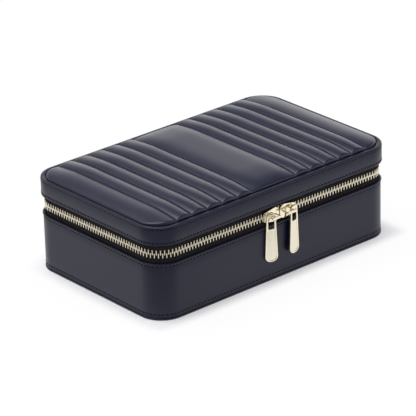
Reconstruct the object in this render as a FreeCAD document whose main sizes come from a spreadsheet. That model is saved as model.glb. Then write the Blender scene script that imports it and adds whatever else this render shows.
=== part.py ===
import FreeCAD, Part
import math
import os
import Sketcher

# A zipped leather jewellery case: a quilted lid on a leather spine, over a lined and divided base.
# The origin is the middle of the underside, +Z is up, and the two zip sliders are on the -Y side.
# Lengths are in millimetres and angles in degrees.

SIZES = {
    # outer leather case
    "case_width": 222.0,
    "case_depth": 138.0,
    "corner_radius": 18.7,
    "base_height": 42.9,
    "zip_gap": 13.7,
    "lid_height": 13.8,
    "leather": 1.8,
    "bottom_leather": 1.6,
    "lip": 0.8,
    "bottom_lip": 0.4,
    "welt_height": 1.4,
    "edge_fold": 1.0,
    # boards and linings inside the leather
    "board": 3.0,
    "floor_board": 3.0,
    "top_board": 2.5,
    "lining": 1.0,
    "floor_pad": 2.0,
    "headliner": 1.5,
    # quilted top
    "pad_gap": 0.3,
    "pad_edge": 0.6,
    "pad_rise": 4.1,
    "pad_shoulder": 24.0,
    "middle_panel": 40.5,
    "seam_pitch": 13.9,
    "channel_bulge": 1.3,
    "middle_bulge": 1.6,
    "end_bulge": 0.7,
    # mirror in the lid
    "mirror_width": 150.0,
    "mirror_depth": 86.0,
    "mirror_corner": 6.0,
    "mirror_glass": 2.0,
    "mirror_band": 6.0,
    "mirror_lip": 3.0,
    "mirror_cover": 1.0,
    # dividers and ring rolls in the base
    "divider": 3.0,
    "divider_height": 30.0,
    "divider_row": 18.0,
    "front_split": 35.0,
    "back_split": 53.0,
    "ring_block_height": 15.0,
    "roll_height": 12.0,
    "roll_round": 4.8,
    "soft_gap": 0.2,
    # zip tapes, teeth and end stops
    "tape": 0.8,
    "tape_seat": 6.0,
    "tape_edge": 1.4,
    "zip_return": 6.0,
    "spine_gap": 2.0,
    "tooth_pitch": 2.7,
    "tooth_width": 1.15,
    "tooth_depth": 2.4,
    "tooth_length": 3.9,
    "tooth_reach": 0.8,
    "tooth_leg": 2.0,
    "tooth_chamfer": 0.3,
    "tooth_clearance": 0.2,
    "slot_clearance": 0.05,
    "stop_width": 3.0,
    "stop_depth": 1.9,
    # sliders and bails
    "slider_meet": 1.2,
    "slider_gap": 0.6,
    "slider_length": 14.6,
    "slider_nose": 12.4,
    "slider_tail": 7.2,
    "slider_round": 4.2,
    "slider_plate": 1.0,
    "slider_clearance": 0.2,
    "post_length": 4.0,
    "post_height": 2.0,
    "spread_ramp": 6.0,
    "bail_wire": 1.0,
    "bail_rear": 3.2,
    "bail_front": 4.1,
    "bail_crown": 2.2,
    "bail_round": 0.9,
    # pull tabs
    "pull_length": 36.6,
    "pull_top_width": 6.9,
    "pull_bottom_width": 10.1,
    "pull_thickness": 1.5,
    "pull_top_bar": 2.5,
    "pull_slot_width": 4.6,
    "pull_slot_length": 8.9,
    "pull_end_radius": 4.4,
    "pull_top_radius": 2.2,
    "pull_rim": 1.0,
    "pull_recess": 0.3,
    "pull_clearance": 0.2,
    "eye_clearance": 0.1,
    "left_pull_turn": 19.0,
    "right_pull_turn": 8.0,
}

# Places that several pieces share, each worked out from the sizes and from the places above it.
PLACES = {
    # insets from the outer face of the leather
    "outer_lip": "-Sizes.lip",
    "lower_lip": "-Sizes.bottom_lip",
    "leather_back": "Sizes.leather",
    "tape_back": "leather_back + Sizes.tape",
    "board_back": "leather_back + Sizes.board",
    "lining_back": "board_back + Sizes.lining",
    "pad_side": "leather_back + Sizes.pad_gap",
    "chain_inset": "leather_back + Sizes.tape / 2",
    # levels
    "board_top": "Sizes.base_height - Sizes.edge_fold",
    "base_seat": "board_top - Sizes.tape_seat",
    "floor_top": "Sizes.bottom_leather + Sizes.floor_board",
    "inside_floor": "floor_top + Sizes.floor_pad",
    "chain_level": "Sizes.base_height + Sizes.zip_gap / 2",
    "lid_bottom": "Sizes.base_height + Sizes.zip_gap",
    "lid_board_bottom": "lid_bottom + Sizes.edge_fold",
    "lid_seat": "lid_board_bottom + Sizes.tape_seat",
    "lid_top": "lid_bottom + Sizes.lid_height",
    "welt_bottom": "lid_top - Sizes.welt_height",
    "top_board_bottom": "welt_bottom - Sizes.top_board",
    "headliner_bottom": "top_board_bottom - Sizes.headliner",
    "mirror_bottom": "headliner_bottom - Sizes.mirror_glass",
    "frame_bottom": "mirror_bottom - Sizes.mirror_cover",
    "roll_bottom": "inside_floor + Sizes.ring_block_height",
    # rooms and openings
    "inside_width": "Sizes.case_width - 2 * lining_back",
    "inside_back": "Sizes.case_depth / 2 - lining_back",
    "row_front": "Sizes.divider_row - Sizes.divider / 2",
    "row_back": "Sizes.divider_row + Sizes.divider / 2",
    "bay_width": "2 * Sizes.back_split - Sizes.divider - 2 * Sizes.soft_gap",
    "bay_front": "row_back + Sizes.soft_gap",
    "bay_depth": "inside_back - row_back - 2 * Sizes.soft_gap",
    "frame_width": "Sizes.mirror_width + 2 * Sizes.mirror_band",
    "frame_depth": "Sizes.mirror_depth + 2 * Sizes.mirror_band",
    "frame_corner": "Sizes.mirror_corner + Sizes.mirror_band",
    "sight_width": "Sizes.mirror_width - 2 * Sizes.mirror_lip",
    "sight_depth": "Sizes.mirror_depth - 2 * Sizes.mirror_lip",
    "sight_corner": "0.5 * Sizes.mirror_corner",
    # zip
    "chain_y": "chain_inset - Sizes.case_depth / 2",
    "tape_end": "Sizes.case_width / 2 - Sizes.corner_radius - Sizes.zip_return",
    "spine_half": "tape_end - Sizes.spine_gap",
    "base_tape_top": "chain_level - Sizes.tape_edge",
    "lid_tape_bottom": "chain_level + Sizes.tape_edge",
    "spread": "Sizes.tooth_reach + Sizes.post_height / 2 + Sizes.tooth_clearance",
    "spread_flat": "Sizes.slider_gap / 2 + Sizes.post_length",
    "spread_end": "spread_flat + Sizes.spread_ramp",
    "channel_half": "Sizes.tooth_depth / 2 + Sizes.slider_clearance",
    "slider_front": "channel_half + Sizes.slider_plate",
    "slider_offset": "(Sizes.slider_gap + Sizes.slider_length) / 2",
    "left_slider_x": "Sizes.slider_meet - slider_offset",
    "right_slider_x": "Sizes.slider_meet + slider_offset",
    "left_pull_x": "left_slider_x - Sizes.bail_rear",
    "right_pull_x": "right_slider_x + Sizes.bail_rear",
    # pull tabs, measured outwards from the middle of the chain and along the tab from its bail
    "turn_sine": "sin(max(Sizes.left_pull_turn; Sizes.right_pull_turn) * 1deg)",
    "pull_out": "max(chain_inset; slider_front) + Sizes.pull_bottom_width / 2 * turn_sine"
    " + Sizes.pull_thickness / 2 + Sizes.pull_clearance",
    "bail_out": "pull_out + Sizes.pull_top_width / 2 * turn_sine + Sizes.pull_thickness / 2"
    " + Sizes.pull_clearance + Sizes.bail_wire / 2",
    "pull_y": "chain_y - pull_out",
    "slot_top": "Sizes.bail_wire / 2 + Sizes.eye_clearance",
    "slot_bottom": "slot_top - Sizes.pull_slot_length",
    "pull_top": "slot_top + Sizes.pull_top_bar",
    "pull_bottom": "pull_top - Sizes.pull_length",
    "recess_top": "slot_bottom - Sizes.pull_rim",
    "recess_bottom": "pull_bottom + Sizes.pull_rim",
}

CHANNELS_PER_SIDE = 5
RING_ROLLS = 4
STEPS_PER_CHANNEL = 4
STEPS_PER_WIDE_PANEL = 8
LEAST_RISE = 0.25
ROUND_LIMIT = 0.45
LEVEL_MATCH = 0.001
PARALLEL_MATCH = 1e-6

doc = FreeCAD.newDocument("JewelleryCase")
sheet = doc.addObject("Spreadsheet::Sheet", "Sizes")
for row, (size_name, size) in enumerate(SIZES.items(), start=1):
    sheet.set(f"A{row}", size_name)
    sheet.set(f"B{row}", str(size))
    sheet.setAlias(f"B{row}", size_name)
doc.recompute()
places = doc.addObject("App::VarSet", "Places")
for place_name in PLACES:
    places.addProperty("App::PropertyFloat", place_name)
for place_name, formula in PLACES.items():
    places.setExpression(place_name, formula)
doc.recompute()

subparts = []


def value(name):
    return float(sheet.get(name) if name in SIZES else getattr(places, name))


def ref(name):
    return f"Sizes.{name}" if name in SIZES else f"Places.{name}"


def add_subpart(kind, label):
    piece = doc.addObject(kind, label)
    piece.Label = label
    subparts.append(piece)
    return piece


# Helpers for sketched pieces


def add_sketch(body, plane, offset):
    """A sketch on one of the body's own planes, moved along that plane's normal."""
    sketch = body.newObject("Sketcher::SketchObject", "Sketch")
    support = next(f for f in body.Origin.OriginFeatures if f.Role == plane)
    sketch.AttachmentSupport = [(support, "")]
    sketch.MapMode = "FlatFace"
    sketch.setExpression("AttachmentOffset.Base.z", offset)
    return sketch


def bind(sketch, constraint, formula):
    index = sketch.addConstraint(constraint)
    sketch.setExpression(f"Constraints[{index}]", formula)


def add_polygon(sketch, corners, closed=True):
    """Straight sides through corners that are each given as two formulas."""
    count = len(corners)
    step = 2 * math.pi / count
    ring = [FreeCAD.Vector(math.cos(i * step), math.sin(i * step), 0) for i in range(count)]
    sides = count if closed else count - 1
    for i in range(sides):
        sketch.addGeometry(Part.LineSegment(ring[i], ring[(i + 1) % count]), False)
    for i in range(sides if closed else sides - 1):
        sketch.addConstraint(Sketcher.Constraint("Coincident", i, 2, (i + 1) % sides, 1))
    for i, (along, up) in enumerate(corners):
        line, end = (i, 1) if i < sides else (i - 1, 2)
        start = ring[i]
        bind(sketch, Sketcher.Constraint("DistanceX", -1, 1, line, end, start.x), along)
        bind(sketch, Sketcher.Constraint("DistanceY", -1, 1, line, end, start.y), up)


def add_rounded_loop(sketch, width, depth, corner):
    """A rounded rectangle about the origin; each argument is a formula with its present value."""
    half_x, half_y, radius = width[1] / 2, depth[1] / 2, corner[1]
    near_x, near_y = half_x - radius, half_y - radius
    first = sketch.GeometryCount
    up = FreeCAD.Vector(0, 0, 1)
    centres = [(near_x, near_y), (-near_x, near_y), (-near_x, -near_y), (near_x, -near_y)]
    for i, (x, y) in enumerate(centres):
        circle = Part.Circle(FreeCAD.Vector(x, y, 0), up, radius)
        start = i * math.pi / 2
        sketch.addGeometry(Part.ArcOfCircle(circle, start, start + math.pi / 2), False)
    sides = [
        ((near_x, half_y), (-near_x, half_y)),
        ((-half_x, near_y), (-half_x, -near_y)),
        ((-near_x, -half_y), (near_x, -half_y)),
        ((half_x, -near_y), (half_x, near_y)),
    ]
    for start, end in sides:
        line = Part.LineSegment(FreeCAD.Vector(*start, 0), FreeCAD.Vector(*end, 0))
        sketch.addGeometry(line, False)
    for i in range(4):
        arc, side = first + i, first + 4 + i
        following = first + (i + 1) % 4
        sketch.addConstraint(Sketcher.Constraint("Tangent", arc, 2, side, 1))
        sketch.addConstraint(Sketcher.Constraint("Tangent", side, 2, following, 1))
        sketch.addConstraint(Sketcher.Constraint("Vertical" if i % 2 else "Horizontal", side))
    for i in range(3):
        sketch.addConstraint(Sketcher.Constraint("Equal", first, first + i + 1))
    sketch.addConstraint(Sketcher.Constraint("Symmetric", first, 3, first + 2, 3, -1, 1))
    left, right, top, bottom = first + 5, first + 7, first + 4, first + 6
    bind(sketch, Sketcher.Constraint("DistanceX", left, 1, right, 2, width[1]), width[0])
    bind(sketch, Sketcher.Constraint("DistanceY", bottom, 1, top, 2, depth[1]), depth[0])
    bind(sketch, Sketcher.Constraint("Radius", first, radius), corner[0])


def named_outline(*names):
    """Width, depth and corner radius by name, as the arguments of add_rounded_loop."""
    return tuple((ref(name), value(name)) for name in names)


def case_outline(inset):
    """The case's plan outline at an inset, as the arguments of add_rounded_loop."""
    outline = []
    for name, sides in (("case_width", 2), ("case_depth", 2), ("corner_radius", 1)):
        outline.append((f"{ref(name)} - {sides} * {ref(inset)}", value(name) - sides * value(inset)))
    return tuple(outline)


def add_pad(body, sketch, length):
    pad = body.newObject("PartDesign::Pad", "Pad")
    pad.Profile = sketch
    pad.setExpression("Length", length)
    return pad


def add_layer(body, outlines, bottom, top):
    """Pads the area between one or two rounded outlines from one level to another."""
    sketch = add_sketch(body, "XY_Plane", ref(bottom) if bottom else "0")
    for outline in outlines:
        add_rounded_loop(sketch, *outline)
    base = f" - {ref(bottom)}" if bottom else ""
    return add_pad(body, sketch, ref(top) + base)


def cut_through(body, plane, corners):
    sketch = add_sketch(body, plane, "0")
    add_polygon(sketch, corners)
    pocket = body.newObject("PartDesign::Pocket", "Pocket")
    pocket.Profile = sketch
    pocket.Type = "ThroughAll"
    pocket.SideType = "Symmetric"
    return pocket


def add_fillet(body, feature, axis, radius, level):
    """Rounds the straight edges that run along an axis at a level."""
    doc.recompute()
    direction = FreeCAD.Vector(*axis)
    names = []
    for number, edge in enumerate(feature.Shape.Edges, start=1):
        straight = edge.Curve.TypeId == "Part::GeomLine"
        if straight and edge.tangentAt(0).cross(direction).Length < PARALLEL_MATCH:
            if abs(edge.CenterOfMass.z - level) < LEVEL_MATCH:
                names.append(f"Edge{number}")
    fillet = body.newObject("PartDesign::Fillet", "Fillet")
    fillet.Base = (feature, names)
    fillet.setExpression("Radius", radius)
    return fillet


# Leather, boards and linings


def make_layers(label, *layers):
    """A piece of stacked layers, each as outlines, a lower level and an upper level."""
    body = add_subpart("PartDesign::Body", label)
    for outlines, bottom, top in layers:
        add_layer(body, outlines, bottom, top)
    return body


face = named_outline("case_width", "case_depth", "corner_radius")
leather_back = case_outline("leather_back")
tape_back = case_outline("tape_back")
board_back = case_outline("board_back")
lining_back = case_outline("lining_back")
lip = case_outline("outer_lip")
lower_lip = case_outline("lower_lip")

make_layers("bottom_panel", ([lower_lip], None, "bottom_leather"))
make_layers("base_wall", ([face, leather_back], "bottom_leather", "base_height"))
make_layers(
    "base_frame",
    ([leather_back, board_back], "bottom_leather", "base_seat"),
    ([tape_back, board_back], "base_seat", "board_top"),
)
make_layers("floor_board", ([board_back], "bottom_leather", "floor_top"))
make_layers("base_lining", ([board_back, lining_back], "floor_top", "board_top"))
make_layers("floor_pad", ([lining_back], "floor_top", "inside_floor"))

make_layers("lid_band", ([lip, leather_back], "lid_bottom", "welt_bottom"))
make_layers("lid_welt", ([lip, leather_back], "welt_bottom", "lid_top"))
make_layers(
    "lid_frame",
    ([tape_back, board_back], "lid_board_bottom", "lid_seat"),
    ([leather_back, board_back], "lid_seat", "top_board_bottom"),
)
make_layers("lid_top_board", ([leather_back], "top_board_bottom", "welt_bottom"))
make_layers("headliner", ([board_back], "headliner_bottom", "top_board_bottom"))
make_layers("lid_lining", ([board_back, lining_back], "lid_board_bottom", "headliner_bottom"))

glass = named_outline("mirror_width", "mirror_depth", "mirror_corner")
frame = named_outline("frame_width", "frame_depth", "frame_corner")
sight = named_outline("sight_width", "sight_depth", "sight_corner")
make_layers("mirror", ([glass], "mirror_bottom", "headliner_bottom"))
make_layers(
    "mirror_frame",
    ([frame, sight], "frame_bottom", "mirror_bottom"),
    ([frame, glass], "mirror_bottom", "headliner_bottom"),
)


# Dividers, ring block and ring rolls


def make_box(label, x, y, z, length, width, height):
    box = add_subpart("Part::Box", label)
    sizes = {"Length": length, "Width": width, "Height": height}
    corner = {"Placement.Base.x": x, "Placement.Base.y": y, "Placement.Base.z": z}
    for name, formula in {**sizes, **corner}.items():
        box.setExpression(name, formula)
    return box


def make_divider(label, x, y, length, width):
    return make_box(label, x, y, "Places.inside_floor", length, width, "Sizes.divider_height")


inside = "Places.inside_width"
make_divider("long_divider", f"-{inside} / 2", "Places.row_front", inside, "Sizes.divider")
for side, sign in (("left", "-"), ("right", "")):
    front_x = f"{sign}Sizes.front_split - Sizes.divider / 2"
    front_length = "Places.row_front + Places.inside_back"
    make_divider(f"front_{side}_divider", front_x, "-Places.inside_back", "Sizes.divider", front_length)
    back_x = f"{sign}Sizes.back_split - Sizes.divider / 2"
    back_length = "Places.inside_back - Places.row_back"
    make_divider(f"back_{side}_divider", back_x, "Places.row_back", "Sizes.divider", back_length)

make_box(
    "ring_block",
    "-Places.bay_width / 2",
    "Places.bay_front",
    "Places.inside_floor",
    "Places.bay_width",
    "Places.bay_depth",
    "Sizes.ring_block_height",
)


def make_ring_roll(number):
    """A bar with a rounded top, one of a row that fills the ring bay from front to back."""
    body = add_subpart("PartDesign::Body", f"ring_roll_{number + 1}")
    share = f"(Places.bay_depth + Sizes.soft_gap) / {RING_ROLLS}"
    front = f"Places.bay_front + {number} * {share}"
    back = f"{front} + {share} - Sizes.soft_gap"
    top = "Places.roll_bottom + Sizes.roll_height"
    sketch = add_sketch(body, "YZ_Plane", "-Places.bay_width / 2")
    low = "Places.roll_bottom"
    add_polygon(sketch, [(front, low), (back, low), (back, top), (front, top)])
    pad = add_pad(body, sketch, "Places.bay_width")
    room = f"min({share} - Sizes.soft_gap; Sizes.roll_height)"
    radius = f"min(Sizes.roll_round; {ROUND_LIMIT} * {room})"
    add_fillet(body, pad, (1, 0, 0), radius, value("roll_bottom") + value("roll_height"))


for roll in range(RING_ROLLS):
    make_ring_roll(roll)


# Quilted top: sections across the case, from seam to seam, lofted from the left end to the right


def panel_edges():
    """The seams and the two ends of the quilted top, from left to right."""
    half_panel = value("middle_panel") / 2
    seams = [half_panel + i * value("seam_pitch") for i in range(CHANNELS_PER_SIDE + 1)]
    edges = seams + [value("case_width") / 2 - value("pad_side")]
    return [-x for x in reversed(edges)] + edges


def pad_height(x, left, right, bulge):
    """Height over the pad's edge: a crown that falls at the ends, with a swell between two seams."""
    end = value("case_width") / 2 - value("pad_side")
    shoulder = value("pad_shoulder")
    short = max(0.0, shoulder - (end - abs(x))) / shoulder
    along = (x - left) / (right - left)
    height = value("pad_rise") * (1 - short**2) + bulge * 4 * along * (1 - along)
    return max(LEAST_RISE, height)


def pad_half_depth(x):
    radius = value("corner_radius") - value("pad_side")
    past = max(0.0, abs(x) - (value("case_width") / 2 - value("corner_radius")))
    return value("case_depth") / 2 - value("corner_radius") + math.sqrt(max(0.0, radius**2 - past**2))


def pad_section(x, height):
    """A flat-bottomed section with an arc at each shoulder."""
    half = pad_half_depth(x)
    shoulder = min(value("pad_shoulder"), ROUND_LIMIT * half)
    low = value("welt_bottom")
    edge = low + value("pad_edge")
    top = edge + height
    radius = (shoulder**2 + height**2) / (2 * height)
    lean = math.asin(shoulder / radius) / 2
    rise = radius * (1 - math.cos(lean))
    inner = half - shoulder

    def point(y, z):
        return FreeCAD.Vector(x, y, z)

    bend = inner + radius * math.sin(lean)
    edges = [
        Part.LineSegment(point(-half, low), point(half, low)),
        Part.LineSegment(point(half, low), point(half, edge)),
        Part.Arc(point(half, edge), point(bend, top - rise), point(inner, top)),
        Part.LineSegment(point(inner, top), point(-inner, top)),
        Part.Arc(point(-inner, top), point(-bend, top - rise), point(-half, edge)),
        Part.LineSegment(point(-half, edge), point(-half, low)),
    ]
    return Part.Wire([edge.toShape() for edge in edges])


def make_quilted_top():
    edges = panel_edges()
    last = len(edges) - 2
    sections = []
    for number in range(last + 1):
        left, right = edges[number], edges[number + 1]
        at_end = number in (0, last)
        in_middle = number == CHANNELS_PER_SIDE + 1
        steps = STEPS_PER_WIDE_PANEL if at_end or in_middle else STEPS_PER_CHANNEL
        bulge = value("end_bulge" if at_end else "middle_bulge" if in_middle else "channel_bulge")
        for i in range(steps if number < last else steps + 1):
            x = left + (right - left) * i / steps
            sections.append(pad_section(x, pad_height(x, left, right, bulge)))
    top = add_subpart("Part::Feature", "quilted_top")
    top.Shape = Part.makeLoft(sections, True, True)
    top.Placement = FreeCAD.Placement()


make_quilted_top()


# Zip tapes, leather spine, teeth and end stops


def make_tape(label, bottom, top, edge, away):
    """Half of the zip tape: open at the back, with its edge drawn back where the sliders part the teeth."""
    body = make_layers(label, ([leather_back, tape_back], bottom, top))
    end = "Places.tape_end"
    far = "Sizes.case_depth"
    cut_through(body, "XY_Plane", [(f"-{end}", "0"), (end, "0"), (end, far), (f"-{end}", far)])
    meet = "Sizes.slider_meet"
    level, middle = ref(edge), "Places.chain_level"
    drawn = f"{level} {away} Places.spread"
    corners = [
        (f"{meet} - Places.spread_end", level),
        (f"{meet} - Places.spread_flat", drawn),
        (f"{meet} + Places.spread_flat", drawn),
        (f"{meet} + Places.spread_end", level),
        (f"{meet} + Places.spread_end", middle),
        (f"{meet} - Places.spread_end", middle),
    ]
    cut_through(body, "XZ_Plane", corners)


make_tape("base_zip_tape", "base_seat", "base_tape_top", "base_tape_top", "-")
make_tape("lid_zip_tape", "lid_tape_bottom", "lid_seat", "lid_tape_bottom", "+")
make_box(
    "hinge_spine",
    "-Places.spine_half",
    "Sizes.case_depth / 2 - Places.tape_back",
    "Places.base_seat",
    "2 * Places.spine_half",
    "Sizes.tape",
    "Places.lid_seat - Places.base_seat",
)


def chain_run():
    """Lengths of the chain's runs on one side, from the middle of the front to its end at the back."""
    radius = value("corner_radius") - value("chain_inset")
    front = value("case_width") / 2 - value("corner_radius")
    side = value("case_depth") - 2 * value("corner_radius")
    return [front, radius * math.pi / 2, side, radius * math.pi / 2, value("zip_return")]


def chain_point(along):
    """Place and heading on the right half of the chain at a distance from the middle of the front."""
    radius = value("corner_radius") - value("chain_inset")
    place, heading = FreeCAD.Vector(0, value("chain_y"), 0), 0.0
    for number, length in enumerate(chain_run()):
        step = min(along, length)
        along -= step
        if number % 2:
            turn = step / radius
            left = FreeCAD.Vector(-math.sin(heading), math.cos(heading), 0)
            heading += turn
            new_left = FreeCAD.Vector(-math.sin(heading), math.cos(heading), 0)
            place = place + (left - new_left) * radius
        else:
            place = place + FreeCAD.Vector(math.cos(heading), math.sin(heading), 0) * step
    return place, heading


def chain_frame(along):
    """Place and heading in degrees on the chain; negative distances are on the left half."""
    place, heading = chain_point(abs(along))
    if along < 0:
        place.x, heading = -place.x, -heading
    return place, math.degrees(heading)


def clamp_solid(width, depth, length):
    """A tooth or stop that straddles the tape's edge; its leg ends are at the origin and it points up."""
    half, slot = depth / 2, value("tape") / 2 + value("slot_clearance")
    leg, bevel = value("tooth_leg"), value("tooth_chamfer")
    right = [(slot, leg), (slot, 0), (half, 0), (half, length - bevel), (half - bevel, length)]
    outline = right + [(-y, z) for y, z in reversed(right)]
    points = [FreeCAD.Vector(-width / 2, y, z) for y, z in outline]
    wire = Part.makePolygon(points + points[:1])
    return Part.Face(wire).extrude(FreeCAD.Vector(width, 0, 0))


def set_on_chain(solid, along, level, upside_down):
    place, heading = chain_frame(along)
    turn = FreeCAD.Rotation(FreeCAD.Vector(0, 0, 1), heading)
    if upside_down:
        turn = turn * FreeCAD.Rotation(FreeCAD.Vector(0, 1, 0), 180)
    place.z = level
    piece = solid.copy()
    piece.Placement = FreeCAD.Placement(place, turn)
    return piece


def parting(along):
    """How far the rows stand apart from their meshed place at a distance along the front."""
    off = abs(along - value("slider_meet"))
    share = (value("spread_end") - off) / value("spread_ramp")
    return value("spread") * min(1.0, max(0.0, share))


def make_group(label, solids):
    group = add_subpart("Part::Feature", label)
    group.Shape = Part.makeCompound(solids)
    group.Placement = FreeCAD.Placement()


def make_row(prefix, upside_down):
    """One row of teeth, half a pitch off the other row, with its end stops beside the other row's."""
    sign = 1 if upside_down else -1
    foot = value("tooth_length") - value("tooth_reach")
    pitch, end = value("tooth_pitch"), sum(chain_run())
    shift = 0.5 if upside_down else 0.0
    stop_step = value("stop_width") + value("tooth_clearance")
    last_tooth = end - 2 * stop_step - pitch / 2
    tooth = clamp_solid(value("tooth_width"), value("tooth_depth"), value("tooth_length"))
    teeth = []
    for count in range(-int(end / pitch), int(end / pitch) + 1):
        along = (count + shift) * pitch
        if abs(along) <= last_tooth:
            level = value("chain_level") + sign * (foot + parting(along))
            teeth.append(set_on_chain(tooth, along, level, upside_down))
    make_group(f"{prefix}_zip_teeth", teeth)
    stop = clamp_solid(value("stop_width"), value("stop_depth"), foot - value("tooth_clearance"))
    level = value("chain_level") + sign * foot
    reach = end - value("stop_width") / 2 - (stop_step if upside_down else 0.0)
    stops = [set_on_chain(stop, along, level, upside_down) for along in (-reach, reach)]
    make_group(f"{prefix}_zip_stops", stops)


make_row("base", False)
make_row("lid", True)


# Sliders, bails and pull tabs, drawn with the slider's nose towards +X and its front towards -Y


def place_on_front(piece, x, y, turn):
    piece.Placement = FreeCAD.Placement(FreeCAD.Vector(), turn)
    piece.setExpression("Placement.Base.x", x)
    piece.setExpression("Placement.Base.y", y)
    piece.setExpression("Placement.Base.z", "Places.chain_level")


def add_plate(body, corners, inner, thickness):
    sketch = add_sketch(body, "XZ_Plane", inner)
    add_polygon(sketch, corners)
    return add_pad(body, sketch, thickness)


def make_slider(side, turn):
    """A back plate, a wedge-shaped post between the rows and a front plate, as one casting."""
    body = add_subpart("PartDesign::Body", f"{side}_slider")
    end, nose, tail = "Sizes.slider_length / 2", "Sizes.slider_nose / 2", "Sizes.slider_tail / 2"
    plate = [(f"-{end}", f"-{tail}"), (end, f"-{nose}"), (end, nose), (f"-{end}", tail)]
    high = "Sizes.post_height / 2"
    shoulder = f"{end} - Sizes.post_length / 2"
    post = [
        (f"{end} - Sizes.post_length", "0"),
        (shoulder, f"-{high}"),
        (end, f"-{high}"),
        (end, high),
        (shoulder, high),
    ]
    add_plate(body, plate, "-Places.slider_front", "Sizes.slider_plate")
    add_plate(body, post, "-Places.channel_half", "2 * Places.channel_half")
    casting = add_plate(body, plate, "Places.channel_half", "Sizes.slider_plate")
    for sign in (-1, 1):
        casting = add_fillet(body, casting, (0, 1, 0), "Sizes.slider_round", sign * value("slider_nose") / 2)
    place_on_front(body, f"Places.{side}_slider_x", "Places.chain_y", turn)


def make_bail(side, turn):
    """A staple of round wire on the slider's front plate, broadened by a crown over its bridge."""
    body = add_subpart("PartDesign::Body", f"{side}_bail")
    path = add_sketch(body, "XY_Plane", "0")
    foot, top = "-Places.slider_front", "-Places.bail_out"
    rear, front = "-Sizes.bail_rear", "Sizes.bail_front"
    add_polygon(path, [(rear, foot), (rear, top), (front, top), (front, foot)], closed=False)
    ring = add_sketch(body, "XZ_Plane", "Places.slider_front")
    circle = Part.Circle(FreeCAD.Vector(-1, 0, 0), FreeCAD.Vector(0, 0, 1), 1)
    ring.addGeometry(circle, False)
    bind(ring, Sketcher.Constraint("DistanceX", -1, 1, 0, 3, -1), rear)
    bind(ring, Sketcher.Constraint("DistanceY", -1, 1, 0, 3, 0), "0")
    bind(ring, Sketcher.Constraint("Radius", 0, 1), "Sizes.bail_wire / 2")
    doc.recompute()
    wire = body.newObject("PartDesign::AdditivePipe", "Wire")
    wire.Profile = ring
    wire.Spine = (path, ["Edge1", "Edge2", "Edge3"])
    wire.Transition = "Round corner"
    half = "Sizes.bail_wire / 2"
    left, right, high = f"{rear} - {half}", f"{front} + {half}", "Sizes.bail_crown / 2"
    outline = [(left, f"-{high}"), (right, f"-{high}"), (right, high), (left, high)]
    crown = add_plate(body, outline, f"Places.bail_out - {half}", "Sizes.bail_wire")
    crown_radius = f"min(Sizes.bail_round; {ROUND_LIMIT} * Sizes.bail_crown)"
    for sign in (-1, 1):
        crown = add_fillet(body, crown, (0, 1, 0), crown_radius, sign * value("bail_crown") / 2)
    place_on_front(body, f"Places.{side}_slider_x", "Places.chain_y", turn)


def taper(level):
    """Half the pull tab's width at a level, as a formula."""
    share = f"(Places.pull_top - {level}) / Sizes.pull_length"
    return f"(Sizes.pull_top_width + (Sizes.pull_bottom_width - Sizes.pull_top_width) * {share}) / 2"


def taper_corners(bottom, top, rim):
    low, high = f"{taper(bottom)} - {rim}", f"{taper(top)} - {rim}"
    return [(f"-({low})", bottom), (low, bottom), (high, top), (f"-({high})", top)]


def add_pocket(body, sketch, depth):
    pocket = body.newObject("PartDesign::Pocket", "Pocket")
    pocket.Profile = sketch
    pocket.setExpression("Length", depth)
    return pocket


def make_pull(side, turn):
    """A tapered tab with a round end, a slot for the bail and a face sunk inside a narrow rim."""
    body = add_subpart("PartDesign::Body", f"{side}_pull")
    half = "Sizes.pull_thickness / 2"
    outline = taper_corners("Places.pull_bottom", "Places.pull_top", "0")
    add_plate(body, outline, f"-{half}", "Sizes.pull_thickness")
    sunk = add_sketch(body, "XZ_Plane", half)
    add_polygon(sunk, taper_corners("Places.recess_bottom", "Places.recess_top", "Sizes.pull_rim"))
    tab = add_pocket(body, sunk, "Sizes.pull_recess")
    end_radius = f"min(Sizes.pull_end_radius; {ROUND_LIMIT} * Sizes.pull_bottom_width)"
    top_radius = f"min(Sizes.pull_top_radius; {ROUND_LIMIT} * Sizes.pull_top_width)"
    inner_radius = f"{end_radius} - min(Sizes.pull_rim; {ROUND_LIMIT} * Sizes.pull_end_radius)"
    rounds = [("recess_bottom", inner_radius), ("pull_bottom", end_radius), ("pull_top", top_radius)]
    for level, radius in rounds:
        tab = add_fillet(body, tab, (0, 1, 0), radius, value(level))
    wide = "Sizes.pull_slot_width / 2"
    low, high = "Places.slot_bottom", "Places.slot_top"
    cut_through(body, "XZ_Plane", [(f"-{wide}", low), (wide, low), (wide, high), (f"-{wide}", high)])
    place_on_front(body, f"Places.{side}_pull_x", "Places.pull_y", turn)


upright = FreeCAD.Rotation()
half_turn = FreeCAD.Rotation(FreeCAD.Vector(0, 1, 0), 180)
for side, turn, pull_turn in (
    ("left", upright, -value("left_pull_turn")),
    ("right", half_turn, value("right_pull_turn")),
):
    make_slider(side, turn)
    make_bail(side, turn)
    make_pull(side, FreeCAD.Rotation(FreeCAD.Vector(0, 0, 1), pull_turn))

doc.recompute()


def check_document():
    """Stops before anything is written if an object failed or a piece is not sound."""
    for item in doc.Objects:
        if any(flag in item.State for flag in ("Invalid", "Error")):
            raise RuntimeError(f"{item.Name} ({item.Label}) is {item.State}")
    for piece in subparts:
        if piece.Shape.isNull() or not piece.Shape.isValid() or not piece.Shape.Solids:
            raise RuntimeError(f"{piece.Label} has no sound shape")


check_document()
os.makedirs("parts", exist_ok=True)
for piece in subparts:
    piece.Shape.exportStep(f"parts/{piece.Label}.step")
    print(f"{piece.Label}: {len(piece.Shape.Solids)} solids, {piece.Shape.Volume:.1f} mm3")
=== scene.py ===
import math

import bmesh
import bpy
from mathutils import Matrix, Vector


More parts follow.
